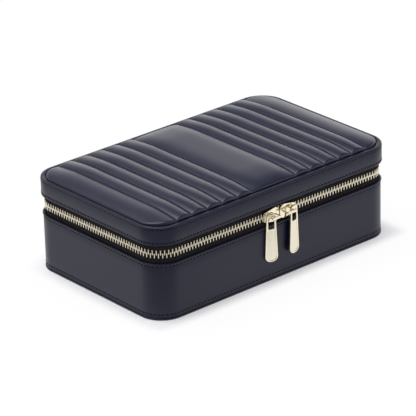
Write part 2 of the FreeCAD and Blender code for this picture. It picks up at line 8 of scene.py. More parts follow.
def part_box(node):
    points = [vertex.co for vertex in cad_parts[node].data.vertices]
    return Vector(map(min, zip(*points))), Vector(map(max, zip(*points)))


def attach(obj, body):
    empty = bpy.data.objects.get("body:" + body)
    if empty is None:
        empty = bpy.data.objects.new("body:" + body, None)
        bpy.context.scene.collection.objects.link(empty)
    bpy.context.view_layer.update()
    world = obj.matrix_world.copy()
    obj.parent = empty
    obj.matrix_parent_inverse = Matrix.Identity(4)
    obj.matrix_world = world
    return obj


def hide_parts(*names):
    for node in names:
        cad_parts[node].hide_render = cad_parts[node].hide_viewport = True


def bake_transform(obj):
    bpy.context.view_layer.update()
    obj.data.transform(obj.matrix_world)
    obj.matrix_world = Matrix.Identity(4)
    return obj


# A zipped navy leather jewellery case: leather skins, quilted lid, brass zip and suede inside,
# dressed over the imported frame. Lengths are in metres and angles in radians.

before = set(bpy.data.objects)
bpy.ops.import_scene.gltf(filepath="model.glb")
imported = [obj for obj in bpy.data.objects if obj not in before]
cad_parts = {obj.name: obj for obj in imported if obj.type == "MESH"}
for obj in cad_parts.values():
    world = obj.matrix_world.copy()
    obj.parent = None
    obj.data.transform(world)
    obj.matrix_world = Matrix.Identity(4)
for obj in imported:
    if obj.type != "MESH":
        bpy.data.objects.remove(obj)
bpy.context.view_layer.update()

MM = 0.001

# Sizes of the case, from the frame

HALF_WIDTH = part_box("base_wall")[1].x
HALF_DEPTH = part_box("base_wall")[1].y
WALL_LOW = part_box("base_wall")[0].z
WALL_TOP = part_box("base_wall")[1].z
BAND_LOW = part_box("lid_band")[0].z
BAND_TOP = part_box("lid_band")[1].z
WELT_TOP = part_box("lid_welt")[1].z
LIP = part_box("lid_welt")[1].x - HALF_WIDTH
BOTTOM_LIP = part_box("bottom_panel")[1].x - HALF_WIDTH
TAPE_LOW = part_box("base_zip_tape")[0].z
TAPE_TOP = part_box("lid_zip_tape")[1].z
BASE_TAPE_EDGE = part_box("base_zip_tape")[1].z
LID_TAPE_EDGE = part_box("lid_zip_tape")[0].z
CHAIN_LEVEL = (BASE_TAPE_EDGE + LID_TAPE_EDGE) / 2
CHAIN_Y = (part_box("left_slider")[0].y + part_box("left_slider")[1].y) / 2
BOARD_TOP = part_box("base_frame")[1].z
LID_BOARD_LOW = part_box("lid_frame")[0].z
FLOOR_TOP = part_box("floor_board")[1].z
PAD_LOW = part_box("quilted_top")[0].z
PAD_HALF_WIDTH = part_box("quilted_top")[1].x
PAD_HALF_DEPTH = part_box("quilted_top")[1].y

# Sizes that a box can't give

CORNER = 18.7 * MM
LEATHER = 1.8 * MM
TAPE = 0.8 * MM
BOARD = 3.0 * MM
LINING = 1.0 * MM
ZIP_RETURN = 6.0 * MM
TAPE_END = HALF_WIDTH - CORNER - ZIP_RETURN
STITCH_PITCH = 3.0 * MM
STITCH_LENGTH = 1.9 * MM
THREAD = 0.75 * MM
STITCH_SINK = 0.1 * MM
STITCH_SLANT = math.radians(7)
STITCH_DENT = 0.18 * MM
DENT_HALF = 0.65 * MM
NARROW_DENT_HALF = 0.45 * MM

# Steps and tolerances of the meshes, and the turn that stands a flat drawing up

STRAIGHT_STEP = 6 * MM
CORNER_STEPS = 14
SLAB_CORNER_STEPS = 16
WELD = 0.002 * MM
LEVEL = 0.01 * MM
UPRIGHT = Matrix.Rotation(math.pi / 2, 4, "X")


# Shader helpers


def set_inputs(tree, node, inputs):
    """Sets a node's inputs, each from a value or from a socket to link."""
    for name, value in inputs.items():
        if isinstance(value, bpy.types.NodeSocket):
            tree.links.new(value, node.inputs[name])
        else:
            node.inputs[name].default_value = value


def add_node(tree, kind, inputs=None, **settings):
    """A shader node with its settings and inputs."""
    node = tree.nodes.new(f"ShaderNode{kind}")
    for name, setting in settings.items():
        setattr(node, name, setting)
    set_inputs(tree, node, inputs or {})
    return node


def new_group(name, inputs, outputs):
    """An empty node group with number inputs and number outputs."""
    tree = bpy.data.node_groups.new(name, "ShaderNodeTree")
    for label, value in inputs.items():
        socket = tree.interface.new_socket(label, in_out="INPUT", socket_type="NodeSocketFloat")
        socket.default_value = value
    for label in outputs:
        tree.interface.new_socket(label, in_out="OUTPUT", socket_type="NodeSocketFloat")
    return tree, tree.nodes.new("NodeGroupInput"), tree.nodes.new("NodeGroupOutput")


def new_material(name, **sockets):
    """A Principled material, with numbers and colours set on the shader's own sockets."""
    material = bpy.data.materials.new(name)
    material.use_nodes = True
    tree = material.node_tree
    shader = tree.nodes["Principled BSDF"]
    for socket, value in sockets.items():
        shader.inputs[socket.replace("_", " ")].default_value = value
    return material, tree, shader


def tint(tree, mask, dark, light):
    """A colour that runs from dark to light with a mask."""
    colours = {"Factor": mask, "A": (*dark, 1), "B": (*light, 1)}
    return add_node(tree, "Mix", colours, data_type="RGBA").outputs["Result"]


def spread(tree, mask, low, high):
    """A mask stretched to run from low to high."""
    return add_node(tree, "MapRange", {"Value": mask, "To Min": low, "To Max": high}).outputs["Result"]


def combine(tree, operation, first, second):
    """One number out of two masks or strengths."""
    return add_node(tree, "Math", {0: first, 1: second}, operation=operation).outputs["Value"]


def own_place(tree):
    """A point's place on its own piece."""
    return add_node(tree, "TexCoord").outputs["Object"]


def noise(tree, place, scale, detail, roughness=0.5):
    """Noise over a place, as a mask."""
    sockets = {"Vector": place, "Scale": scale, "Detail": detail, "Roughness": roughness}
    return add_node(tree, "TexNoise", sockets).outputs["Fac"]


def add_bump(tree, shader, height, distance, strength=1.0):
    bump = add_node(tree, "Bump", {"Height": height, "Distance": distance, "Strength": strength})
    set_inputs(tree, shader, {"Normal": bump.outputs["Normal"]})


# Effects that several materials share


def make_leather_grain():
    """Fine pores over slow creases: a height for bump and a mask for tone and gloss."""
    tree, given, result = new_group(
        "leather_grain",
        {"Pores per metre": 1500.0, "Creases per metre": 60.0, "Crease share": 0.5},
        ("Height", "Tone"),
    )
    place = own_place(tree)
    cells = {"Vector": place, "Scale": given.outputs["Pores per metre"], "Smoothness": 0.6}
    pores = add_node(tree, "TexVoronoi", cells, feature="SMOOTH_F1").outputs["Distance"]
    creases = noise(tree, place, given.outputs["Creases per metre"], 5.0, roughness=0.6)
    shares = {"Factor": given.outputs["Crease share"], "A": pores, "B": creases}
    height = add_node(tree, "Mix", shares).outputs["Result"]
    set_inputs(tree, result, {"Height": height, "Tone": creases})
    return tree


def make_nap():
    """Short brushed pile: fine fibres with broad patches where the pile lies another way."""
    tree, given, result = new_group(
        "suede_nap", {"Fibres per metre": 2600.0, "Patches per metre": 45.0}, ("Height", "Tone")
    )
    place = own_place(tree)
    fibres = noise(tree, place, given.outputs["Fibres per metre"], 2.0)
    patches = noise(tree, place, given.outputs["Patches per metre"], 3.0)
    tone = add_node(tree, "Mix", {"Factor": 0.6, "A": fibres, "B": patches}).outputs["Result"]
    set_inputs(tree, result, {"Height": fibres, "Tone": tone})
    return tree


def make_metal_rub():
    """Hairlines and handling marks on bright metal: a height for bump and a mask for gloss."""
    tree, given, result = new_group(
        "metal_rub", {"Hairlines per metre": 3000.0, "Marks per metre": 220.0}, ("Height", "Marks")
    )
    place = own_place(tree)
    drawn = add_node(tree, "Mapping", {"Vector": place, "Scale": (1.0, 1.0, 0.04)}).outputs["Vector"]
    hairlines = noise(tree, drawn, given.outputs["Hairlines per metre"], 2.0)
    marks = noise(tree, place, given.outputs["Marks per metre"], 4.0)
    set_inputs(tree, result, {"Height": hairlines, "Marks": marks})
    return tree


leather_grain = make_leather_grain()
suede_nap = make_nap()
metal_rub = make_metal_rub()


# Finishes


def make_navy_leather(name, dark, light, crease_share, shiny, dull, index):
    """Smooth dyed leather with a low shine, duller on its paler creases."""
    material, tree, shader = new_material(name, IOR=index)
    grain = add_node(tree, "Group", node_tree=leather_grain)
    set_inputs(tree, grain, {"Crease share": crease_share})
    tone = grain.outputs["Tone"]
    gloss = spread(tree, tone, shiny, dull)
    set_inputs(tree, shader, {"Base Color": tint(tree, tone, dark, light), "Roughness": gloss})
    add_bump(tree, shader, grain.outputs["Height"], 0.05 * MM, 0.5)
    return material


def make_fibrous(name, dark, light, scale, detail, depth, **sockets):
    """Dull thread or board, where one noise gives both tone and height."""
    material, tree, shader = new_material(name, **sockets)
    fibres = noise(tree, own_place(tree), scale, detail)
    set_inputs(tree, shader, {"Base Color": tint(tree, fibres, dark, light)})
    add_bump(tree, shader, fibres, depth)
    return material


def make_zip_tape():
    """Close woven ribs across the tape, on the piece's own map of lengths in metres."""
    material, tree, shader = new_material("woven_tape", Roughness=0.9, Specular_IOR_Level=0.12)
    place = add_node(tree, "UVMap", uv_map="cut").outputs["UV"]
    warp = add_node(tree, "TexWave", {"Vector": place, "Scale": 320.0}, bands_direction="X")
    weft = add_node(tree, "TexWave", {"Vector": place, "Scale": 260.0}, bands_direction="Y")
    weave = combine(tree, "MULTIPLY", warp.outputs["Fac"], weft.outputs["Fac"])
    dyed = tint(tree, weave, (0.006, 0.005, 0.006), (0.030, 0.025, 0.027))
    set_inputs(tree, shader, {"Base Color": dyed})
    add_bump(tree, shader, weave, 0.12 * MM)
    return material


def make_brass(name, pale, warm, shiny, dull):
    """Pale gold plating."""
    material, tree, shader = new_material(name, Metallic=1.0)
    rub = add_node(tree, "Group", node_tree=metal_rub)
    marks = rub.outputs["Marks"]
    gloss = spread(tree, marks, shiny, dull)
    set_inputs(tree, shader, {"Base Color": tint(tree, marks, warm, pale), "Roughness": gloss})
    add_bump(tree, shader, rub.outputs["Height"], 0.01 * MM, 0.4)
    return material


def make_suede(name, dark, light):
    material, tree, shader = new_material(name, Roughness=0.95, Sheen_Weight=0.35, Sheen_Roughness=0.5)
    nap = add_node(tree, "Group", node_tree=suede_nap)
    set_inputs(tree, shader, {"Base Color": tint(tree, nap.outputs["Tone"], dark, light)})
    add_bump(tree, shader, nap.outputs["Height"], 0.12 * MM)
    return material


def make_silvered_glass():
    material, tree, shader = new_material("silvered_glass", Metallic=1.0)
    haze = noise(tree, own_place(tree), 30.0, 3.0)
    silver = tint(tree, haze, (0.86, 0.88, 0.88), (0.90, 0.91, 0.91))
    set_inputs(tree, shader, {"Base Color": silver, "Roughness": spread(tree, haze, 0.015, 0.05)})
    return material


# One navy leather in two copies: the quilted top's copy is lighter and bluer with a higher index, painted
# light falling from above, and the wall copy darker with a lower index, painted shade on the sides.
wall_leather = make_navy_leather(
    "navy_leather",
    dark=(0.0034, 0.003, 0.017),
    light=(0.0058, 0.0055, 0.029),
    crease_share=0.55,
    shiny=0.34,
    dull=0.44,
    index=1.43,
)
quilt_leather_painted_lit = make_navy_leather(
    "quilted_leather",
    dark=(0.003, 0.0035, 0.022),
    light=(0.005, 0.0065, 0.036),
    crease_share=0.45,
    shiny=0.30,
    dull=0.40,
    index=1.54,
)
thread = make_fibrous(
    "navy_thread",
    dark=(0.002, 0.002, 0.006),
    light=(0.006, 0.007, 0.018),
    scale=1800.0,
    detail=2.0,
    depth=0.08 * MM,
    Roughness=0.8,
    Specular_IOR_Level=0.15,
)
woven_tape = make_zip_tape()
polished_brass = make_brass(
    "polished_brass", pale=(0.93, 0.86, 0.70), warm=(0.90, 0.80, 0.58), shiny=0.09, dull=0.16
)
satin_brass = make_brass(
    "satin_brass", pale=(0.90, 0.85, 0.71), warm=(0.86, 0.80, 0.66), shiny=0.38, dull=0.46
)
tooth_brass = make_brass(
    "tooth_brass", pale=(0.97, 0.92, 0.76), warm=(0.94, 0.86, 0.66), shiny=0.24, dull=0.32
)
pale_suede = make_suede("pale_suede", dark=(0.30, 0.28, 0.28), light=(0.47, 0.45, 0.45))
fibreboard = make_fibrous(
    "fibreboard",
    dark=(0.20, 0.13, 0.08),
    light=(0.42, 0.32, 0.22),
    scale=700.0,
    detail=6.0,
    depth=0.1 * MM,
    Roughness=0.9,
)
silvered_glass = make_silvered_glass()


# Mesh helpers


def to_mesh(name, bm):
    """A mesh in place of a bmesh."""
    mesh = bpy.data.meshes.new(name)
    bm.to_mesh(mesh)
    bm.free()
    return mesh


def add_object(name, data):
    """A new object in the scene."""
    made = bpy.data.objects.new(name, data)
    bpy.context.scene.collection.objects.link(made)
    return made


def bevel(bm, geom, offset, segments, affect="EDGES", clamp=False):
    """Rounds edges or corners."""
    bmesh.ops.bevel(
        bm,
        geom=geom,
        offset=offset,
        segments=segments,
        profile=0.5,
        affect=affect,
        material=-1,
        clamp_overlap=clamp,
    )


def make_piece(name, bm, material, body, stands_for=(), crease=40):
    """Turns a bmesh into a smooth piece that rides on a body and stands for CAD nodes."""
    mesh = to_mesh(name, bm)
    mesh.shade_smooth()
    mesh.set_sharp_from_angle(angle=math.radians(crease))
    mesh.materials.append(material)
    piece = add_object(name, mesh)
    if body:
        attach(piece, body)
    if stands_for:
        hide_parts(*stands_for)
    return piece


def outline_runs(inset):
    """Lengths of the outline's straights and turns, from the middle of the back round by the left."""
    wide, deep = HALF_WIDTH - CORNER, HALF_DEPTH - CORNER
    turn = (CORNER - inset) * math.pi / 2
    return [wide, turn, 2 * deep, turn, 2 * wide, turn, 2 * deep, turn, wide]


def inside_outline(x, y, half_x, half_y, corner):
    """How far inside a rounded rectangle a point is."""
    past_x = abs(x) - (half_x - corner)
    past_y = abs(y) - (half_y - corner)
    outside = math.hypot(max(past_x, 0.0), max(past_y, 0.0))
    return corner - outside - min(max(past_x, past_y), 0.0)


def heading_vectors(heading):
    """The way ahead and the way inwards at a heading on the case's outline."""
    ahead = Vector((math.cos(heading), math.sin(heading), 0))
    return ahead, Vector((-ahead.y, ahead.x, 0))


def outline_place(along, inset):
    """Point and heading on the case's outline at a distance from the middle of the back."""
    place, heading = Vector((0, HALF_DEPTH - inset, 0)), math.pi
    radius = CORNER - inset
    for number, length in enumerate(outline_runs(inset)):
        step = min(along, length)
        along -= step
        ahead, inwards = heading_vectors(heading)
        if number % 2:
            heading += step / radius
            place = place + (inwards - heading_vectors(heading)[1]) * radius
        else:
            place = place + ahead * step
    return place, heading


def sweep_outline(bm, section, closed, skip=0.0, straight_step=STRAIGHT_STEP):
    """Carries a section of (inset, level) points round the case, with a map of lengths for woven pieces.

    It starts and ends a distance short of the middle of the back, and closes where that is nothing.
    """
    across = bm.verts.layers.float.new("across")
    along = bm.verts.layers.float.new("along")
    chart = bm.loops.layers.uv.new("cut")
    ring, walked = [], 0.0
    for inset, level in section:
        ring.append(bm.verts.new((-skip, HALF_DEPTH - inset, level)))
        if len(ring) > 1:
            walked += (ring[-1].co - ring[-2].co).length
        ring[-1][across] = walked
    pairs = list(zip(ring, ring[1:])) + ([(ring[-1], ring[0])] if closed else [])
    geom = ring + [bm.edges.new(pair) for pair in pairs]
    heading, travelled = math.pi, 0.0
    runs = outline_runs(0.0)
    runs[0] -= skip
    runs[-1] -= skip
    for number, length in enumerate(runs):
        turning = number % 2
        steps = CORNER_STEPS if turning else max(1, round(length / straight_step))
        start = outline_place(sum(outline_runs(0.0)[:number]), 0.0)[0]
        ahead, inwards = heading_vectors(heading)
        turn = math.pi / 2 / steps if turning else 0.0
        for _ in range(steps):
            made = bmesh.ops.spin(
                bm,
                geom=geom,
                cent=start + inwards * CORNER if turning else (0, 0, 0),
                axis=(0, 0, 1),
                dvec=(0, 0, 0) if turning else ahead * length / steps,
                angle=turn,
                steps=1,
            )
            geom = made["geom_last"]
            heading += turn
            travelled += length / steps
            for vert in geom:
                if isinstance(vert, bmesh.types.BMVert):
                    vert[along] = travelled
    for face in bm.faces:
        for loop in face.loops:
            loop[chart].uv = (loop.vert[along], loop.vert[across])
    bmesh.ops.remove_doubles(bm, verts=bm.verts, dist=WELD)
    bmesh.ops.recalc_face_normals(bm, faces=bm.faces)


def make_stitch_mesh():
    """One stitch: a short bead of thread along X, with its upper side towards Z."""
    bm = bmesh.new()
    slender = Matrix.Diagonal((STITCH_LENGTH / 2, THREAD / 2, THREAD / 2, 1))
    lying = slender @ Matrix.Rotation(math.pi / 2, 4, "Y")
    bmesh.ops.create_uvsphere(bm, u_segments=6, v_segments=5, radius=1, matrix=lying)
    return to_mesh("stitch", bm)


stitch_mesh = make_stitch_mesh()


def add_stitch(bm, place, ahead, outwards):
    """A copy of the stitch, half sunk in the leather."""
    turn = Matrix((ahead, outwards.cross(ahead), outwards)).transposed().to_4x4()
    copy = stitch_mesh.copy()
    copy.transform(Matrix.Translation(place) @ turn)
    bm.from_mesh(copy)
    bpy.data.meshes.remove(copy)


def make_stitch_row(name, level, face, body):
    """A row of stitches right round the case, a little sunk in a leather face."""
    bm = bmesh.new()
    inset = face + STITCH_SINK
    total = sum(outline_runs(inset))
    count = round(total / STITCH_PITCH)
    for number in range(count):
        place, heading = outline_place(total * (number + 0.5) / count, inset)
        ahead, inwards = heading_vectors(heading)
        place.z = level
        slant = Matrix.Rotation(STITCH_SLANT, 3, inwards)
        add_stitch(bm, place, slant @ ahead, -inwards)
    make_piece(name, bm, thread, body)


def close_ends(bm):
    bmesh.ops.holes_fill(bm, edges=[e for e in bm.edges if e.is_boundary], sides=0)


def arc_points(centre, radius, start, end, steps):
    """Points of an arc in the plane of (inset, level), with angles from the outward side up."""
    points = []
    for i in range(steps + 1):
        angle = math.radians(start + (end - start) * i / steps)
        points.append((centre[0] - radius * math.cos(angle), centre[1] + radius * math.sin(angle)))
    return points


def stitch_groove(level, face, half=DENT_HALF):
    """The shallow dent that a row of stitches pulls into a leather face, from below to above."""
    sunk = face + STITCH_DENT
    return [(face, level - half), (sunk, level - half / 3), (sunk, level + half / 3), (face, level + half)]


# Leather skins of the base and the lid

FOLD = 0.9 * MM
FOLD_SIDE = 20
FOLD_STEPS = 9
FOOT_EDGE = 0.4 * MM
WALL_ROWS = (0.2, 0.4, 0.6, 0.8)
LIP_CORNER = CORNER + BOTTOM_LIP
BOTTOM_EDGE = 0.7 * MM
BASE_STITCH_LOW = WALL_LOW + 2.6 * MM
BASE_STITCH_HIGH = WALL_TOP - 2.4 * MM
LID_STITCH_LOW = BAND_LOW + 2.2 * MM
LID_STITCH_HIGH = WELT_TOP - 1.8 * MM
FLARE = 0.6 * MM
LID_FACE = -LIP
LID_FLARE = 0.2 * MM
RIM_ROUND = 0.8 * MM
RIM_START = 5
RIM_STEPS = 6
RIM_BACK = 1.1 * MM
RIM_EDGE = 0.3 * MM
RIM_TUCK = 5.0 * MM
TUCK_START = BAND_TOP + 0.2 * MM
TUCK_END = BAND_TOP + 0.1 * MM
TUCK_LOW = BAND_TOP - 0.2 * MM
DRAWN_IN = 1.9 * MM


def make_base_leather():
    """The base's leather wall, turned over at the top edge."""
    bm = bmesh.new()
    section = [(LEATHER, WALL_LOW), (FOOT_EDGE, WALL_LOW), (0.0, WALL_LOW + FOOT_EDGE)]
    section += stitch_groove(BASE_STITCH_LOW, 0.0)
    section += [(0.0, WALL_LOW + (WALL_TOP - WALL_LOW) * share) for share in WALL_ROWS]
    section += stitch_groove(BASE_STITCH_HIGH, 0.0)
    section += arc_points((FOLD - FLARE, WALL_TOP - FOLD), FOLD, -FOLD_SIDE, 180, FOLD_STEPS)
    section += [(LEATHER, WALL_TOP - 2 * FOLD)]
    sweep_outline(bm, section, closed=True)
    make_piece("base_leather", bm, wall_leather, "base", ["base_wall"])
    make_stitch_row("base_stitches_low", BASE_STITCH_LOW, 0.0, "base")
    make_stitch_row("base_stitches_high", BASE_STITCH_HIGH, 0.0, "base")


def draw_in_rim(bm):
    """Draws the rim's inner edge further in along the front and the back, where the quilt is shallower."""
    for vert in bm.verts:
        x, y, z = vert.co
        inset = inside_outline(x, y, HALF_WIDTH, HALF_DEPTH, CORNER)
        share = min(1.0, max(0.0, (inset - LID_FACE) / (RIM_BACK - LID_FACE)))
        if z > LID_STITCH_HIGH:
            vert.co.y = y * (1 - share * DRAWN_IN / HALF_DEPTH)


def make_lid_leather():
    """The lid's leather band, turned under at the lower edge and folded in as a rim round the quilt."""
    bm = bmesh.new()
    section = [(LEATHER, BAND_LOW + 2 * FOLD)]
    fold_middle = (LID_FACE + FOLD - LID_FLARE, BAND_LOW + FOLD)
    section += arc_points(fold_middle, FOLD, -180, FOLD_SIDE, FOLD_STEPS)
    section += stitch_groove(LID_STITCH_LOW, LID_FACE)
    section += [(LID_FACE, (LID_STITCH_LOW + LID_STITCH_HIGH) / 2)]
    section += stitch_groove(LID_STITCH_HIGH, LID_FACE, half=NARROW_DENT_HALF)
    rim_middle = (LID_FACE + RIM_ROUND, WELT_TOP - RIM_ROUND)
    section += arc_points(rim_middle, RIM_ROUND, RIM_START, 90, RIM_STEPS)
    section += [(RIM_BACK - RIM_EDGE, WELT_TOP), (RIM_BACK, WELT_TOP - RIM_EDGE), (RIM_BACK, TUCK_START)]
    section += [(RIM_TUCK, TUCK_END), (RIM_TUCK, TUCK_LOW), (LEATHER, TUCK_LOW)]
    sweep_outline(bm, section, closed=True)
    draw_in_rim(bm)
    make_piece("lid_leather", bm, wall_leather, "lid", ["lid_band", "lid_welt"])
    make_stitch_row("lid_stitches_low", LID_STITCH_LOW, LID_FACE, "lid")
    make_stitch_row("lid_stitches_high", LID_STITCH_HIGH, LID_FACE, "lid")


def make_slab(name, node, corner, edge, material, body, segments=4):
    """A rounded rectangle with eased edges, as large as a CAD node's box."""
    low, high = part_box(node)
    bm = bmesh.new()
    bmesh.ops.create_grid(bm, x_segments=1, y_segments=1, size=1)
    bmesh.ops.scale(bm, vec=(high.x, high.y, 1), verts=bm.verts)
    bevel(bm, bm.verts[:], corner, SLAB_CORNER_STEPS, affect="VERTICES")
    bmesh.ops.translate(bm, vec=(0, 0, low.z), verts=bm.verts)
    grown = bmesh.ops.extrude_face_region(bm, geom=bm.faces[:])
    raised = [g for g in grown["geom"] if isinstance(g, bmesh.types.BMVert)]
    bmesh.ops.translate(bm, vec=(0, 0, high.z - low.z), verts=raised)
    bmesh.ops.recalc_face_normals(bm, faces=bm.faces)
    rims = [e for e in bm.edges if abs(e.verts[0].co.z - e.verts[1].co.z) < LEVEL]
    bevel(bm, rims, edge, segments)
    make_piece(name, bm, material, body, [node])


make_base_leather()
make_lid_leather()
make_slab("bottom_leather", "bottom_panel", LIP_CORNER, BOTTOM_EDGE, wall_leather, "base")


# Quilted top

LEFT_SEAMS = {"first": 20.25 * MM, "pitch": 13.9 * MM}
RIGHT_SEAMS = {"first": 20.95 * MM, "pitch": 13.54 * MM}
CHANNELS = 5
PAD_CORNER = CORNER - (HALF_WIDTH - PAD_HALF_WIDTH)
QUILT_OUTLINE = (PAD_HALF_WIDTH, PAD_HALF_DEPTH - DRAWN_IN, PAD_CORNER)
PAD_EDGE = PAD_LOW + 2.0 * MM
PAD_RISE = 2.3 * MM
END_SHOULDER = 24 * MM
SIDE_SHOULDER = 30 * MM
EDGE_ROUND = 1.1 * MM
EDGE_DROP = 0.9 * MM
CHANNEL = {"bulge": 1.7 * MM, "fullness": 2.2, "roll": 2.2 * MM}
MIDDLE = {"bulge": 2.0 * MM, "fullness": 4.0, "roll": 12 * MM}
END = {"bulge": 1.05 * MM, "fullness": 2.0, "roll": 3 * MM}
PINCH = 0.95 * MM
PINCH_HALF = 0.5 * MM
PINCH_FADE = 1 * MM
QUILT_ROWS = 84
NARROW_PANEL = 16 * MM
NARROW_COLUMNS = 14
WIDE_COLUMNS = 26
SEAM_MARGIN = 1.5 * MM
SEAM_STITCH_LIFT = 0.3 * MM
SLOPE_STEP = 1 * MM


def half_depth_at(x, half_x, half_y, corner):
    """Half the depth of a rounded rectangle at a distance from its middle."""
    past = max(0.0, abs(x) - (half_x - corner))
    return half_y - corner + math.sqrt(max(0.0, corner**2 - past**2))


def padded_sheet(columns, rows, half_x, half_y, corner, low, level):
    """A closed pad on a rounded rectangle: a grid lifted to its level, with a skirt and a flat back."""
    bm = bmesh.new()
    count = len(columns) - 1
    bmesh.ops.create_grid(bm, x_segments=count, y_segments=rows, size=1)
    for vert in bm.verts:
        x = columns[round((vert.co.x + 1) / 2 * count)]
        y = half_depth_at(x, half_x, half_y, corner) * math.sin(vert.co.y * math.pi / 2)
        vert.co = (x, y, level(x, y))
    rim = [e for e in bm.edges if e.is_boundary]
    skirt = bmesh.ops.extrude_edge_only(bm, edges=rim)["geom"]
    for vert in skirt:
        if isinstance(vert, bmesh.types.BMVert):
            vert.co.z = low
    close_ends(bm)
    bmesh.ops.recalc_face_normals(bm, faces=bm.faces)
    return bm


def seam_row(side):
    """Distances of one side's seams from the middle of the lid."""
    return [side["first"] + i * side["pitch"] for i in range(CHANNELS + 1)]


def quilt_edges():
    """The seams and the two ends of the quilted top, from left to right."""
    left = [-x for x in reversed(seam_row(LEFT_SEAMS))]
    return [-PAD_HALF_WIDTH, *left, *seam_row(RIGHT_SEAMS), PAD_HALF_WIDTH]


def shoulder_share(inside, shoulder):
    """Share of the pad's height at a distance inside one of its edges."""
    return 1 - (1 - min(inside, shoulder) / shoulder) ** 2


def rounding(inside, reach):
    """Share of a quarter round's height at a distance inside an edge."""
    return math.sqrt(1 - (1 - min(inside, reach) / reach) ** 2)


def panel_swell(x, from_end, from_side):
    """How much the padding lifts the leather between two seams, less towards the pad's outline."""
    edges = quilt_edges()
    number = max(i for i in range(len(edges) - 1) if x >= edges[i])
    left, right = edges[number], edges[number + 1]
    panel, inside = CHANNEL, from_side
    if number == CHANNELS + 1:
        panel = MIDDLE
    elif number in (0, len(edges) - 2):
        panel, inside = END, min(from_end, from_side)
    off_middle = abs(2 * (x - left) / (right - left) - 1)
    return panel["bulge"] * (1 - off_middle ** panel["fullness"]) * rounding(inside, panel["roll"])


def seam_pinch(x, from_side):
    """How deep the stitches draw the leather in at a seam."""
    nearest = min(abs(x - seam) for seam in quilt_edges()[1:-1])
    return PINCH * max(0.0, 1 - nearest / PINCH_HALF) * min(1.0, from_side / PINCH_FADE)


def quilt_level(x, y):
    """The height of the quilted leather at a point of the lid."""
    from_end = PAD_HALF_WIDTH - abs(x)
    from_side = max(0.0, half_depth_at(x, *QUILT_OUTLINE) - abs(y))
    height = PAD_RISE * shoulder_share(from_end, END_SHOULDER) * shoulder_share(from_side, SIDE_SHOULDER)
    inside = max(0.0, inside_outline(x, y, *QUILT_OUTLINE))
    turned_down = EDGE_DROP * (1 - rounding(inside, EDGE_ROUND))
    return PAD_EDGE - turned_down + height + panel_swell(x, from_end, from_side) - seam_pinch(x, from_side)


def quilt_columns():
    """The x of each line of the quilt's grid, closer together at the seams."""
    edges = quilt_edges()
    columns = []
    for left, right in zip(edges, edges[1:]):
        steps = NARROW_COLUMNS if right - left < NARROW_PANEL else WIDE_COLUMNS
        for i in range(steps):
            columns.append(left + (right - left) * (1 - math.cos(math.pi * i / steps)) / 2)
    return columns + edges[-1:]


def make_quilt():
    """Padded channels between seams that run from front to back."""
    bm = padded_sheet(quilt_columns(), QUILT_ROWS, *QUILT_OUTLINE, PAD_LOW, quilt_level)
    quilt = make_piece("quilted_leather", bm, quilt_leather_painted_lit, "lid", ["quilted_top"])


def make_quilt_stitches():
    """A row of stitches at the bottom of each seam."""
    bm = bmesh.new()
    for seam in quilt_edges()[1:-1]:
        half = half_depth_at(seam, *QUILT_OUTLINE) - SEAM_MARGIN
        count = round(2 * half / STITCH_PITCH)
        for number in range(count):
            y = half * (2 * (number + 0.5) / count - 1)
            place = Vector((seam, y, quilt_level(seam, y) + SEAM_STITCH_LIFT))
            rise = quilt_level(seam, y + SLOPE_STEP) - quilt_level(seam, y - SLOPE_STEP)
            ahead = Vector((0, 2 * SLOPE_STEP, rise)).normalized()
            add_stitch(bm, place, ahead, Vector((1, 0, 0)).cross(ahead))
    make_piece("quilt_stitches", bm, thread, "lid")


make_quilt()
make_quilt_stitches()


# Zip tapes, teeth and end stops

ZIP_SPREAD = 2.0 * MM
SPREAD_END = 10.3 * MM
SPREAD_RAMP = 6.0 * MM
SLIDERS_MEET = 1.2 * MM
TAPE_DRAW = 4.5 * MM
TOOTH_SLIMMING = 0.3
TOOTH_EDGE = 0.3 * MM
STOP_EDGE = 0.25 * MM
TAPE_STEP = 2 * MM
TAPE_ROUND = 0.15 * MM
TAPE_PUFF = ((5.0 * MM, 0.5 * MM), (3.6 * MM, 0.6 * MM), (2.2 * MM, 0.3 * MM), (0.3 * MM, 0.1 * MM))


def parting(x):
    """How far the tape's edge is drawn back beside the sliders."""
    share = (SPREAD_END - abs(x - SLIDERS_MEET)) / SPREAD_RAMP
    return ZIP_SPREAD * min(1.0, max(0.0, share))


def make_tape(name, seat, edge, body, node):
    """A woven tape that puffs out a little, open at the back and drawn aside beside the sliders."""
    bm = bmesh.new()
    way = 1 if edge > seat else -1
    front, back = LEATHER, LEATHER + TAPE
    rolled = TAPE_PUFF[-1][1]
    section = [(front, seat)]
    section += [(front - puff, edge - way * step) for step, puff in TAPE_PUFF]
    section += [(front - rolled + TAPE_ROUND, edge), (back - rolled - TAPE_ROUND, edge)]
    section += [(back - puff, edge - way * step) for step, puff in reversed(TAPE_PUFF)]
    section += [(back, seat)]
    sweep_outline(bm, section, closed=True, skip=TAPE_END, straight_step=TAPE_STEP)
    close_ends(bm)
    for vert in bm.verts:
        share = max(0.0, 1 - abs(edge - vert.co.z) / TAPE_DRAW)
        if vert.co.y < 0 and abs(vert.co.y - CHAIN_Y) < 2 * TAPE:
            vert.co.z -= way * share * parting(vert.co.x)
    make_piece(name, bm, woven_tape, body, [node])


def rounded_copy(node, edge):
    """A CAD node's mesh with its edges eased."""
    bm = bmesh.new()
    bm.from_mesh(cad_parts[node].data)
    bmesh.ops.remove_doubles(bm, verts=bm.verts, dist=WELD)
    bmesh.ops.dissolve_limit(bm, angle_limit=math.radians(1), verts=bm.verts, edges=bm.edges)
    bevel(bm, bm.edges[:], edge, segments=1, clamp=True)
    return bm


def islands(bm):
    """The vertices of each separate piece of a bmesh, always in the same order."""
    left = dict.fromkeys(bm.verts)
    while left:
        piece = [left.popitem()[0]]
        for vert in piece:
            for near in [e.other_vert(vert) for e in vert.link_edges]:
                if near in left:
                    del left[near]
                    piece.append(near)
        yield piece


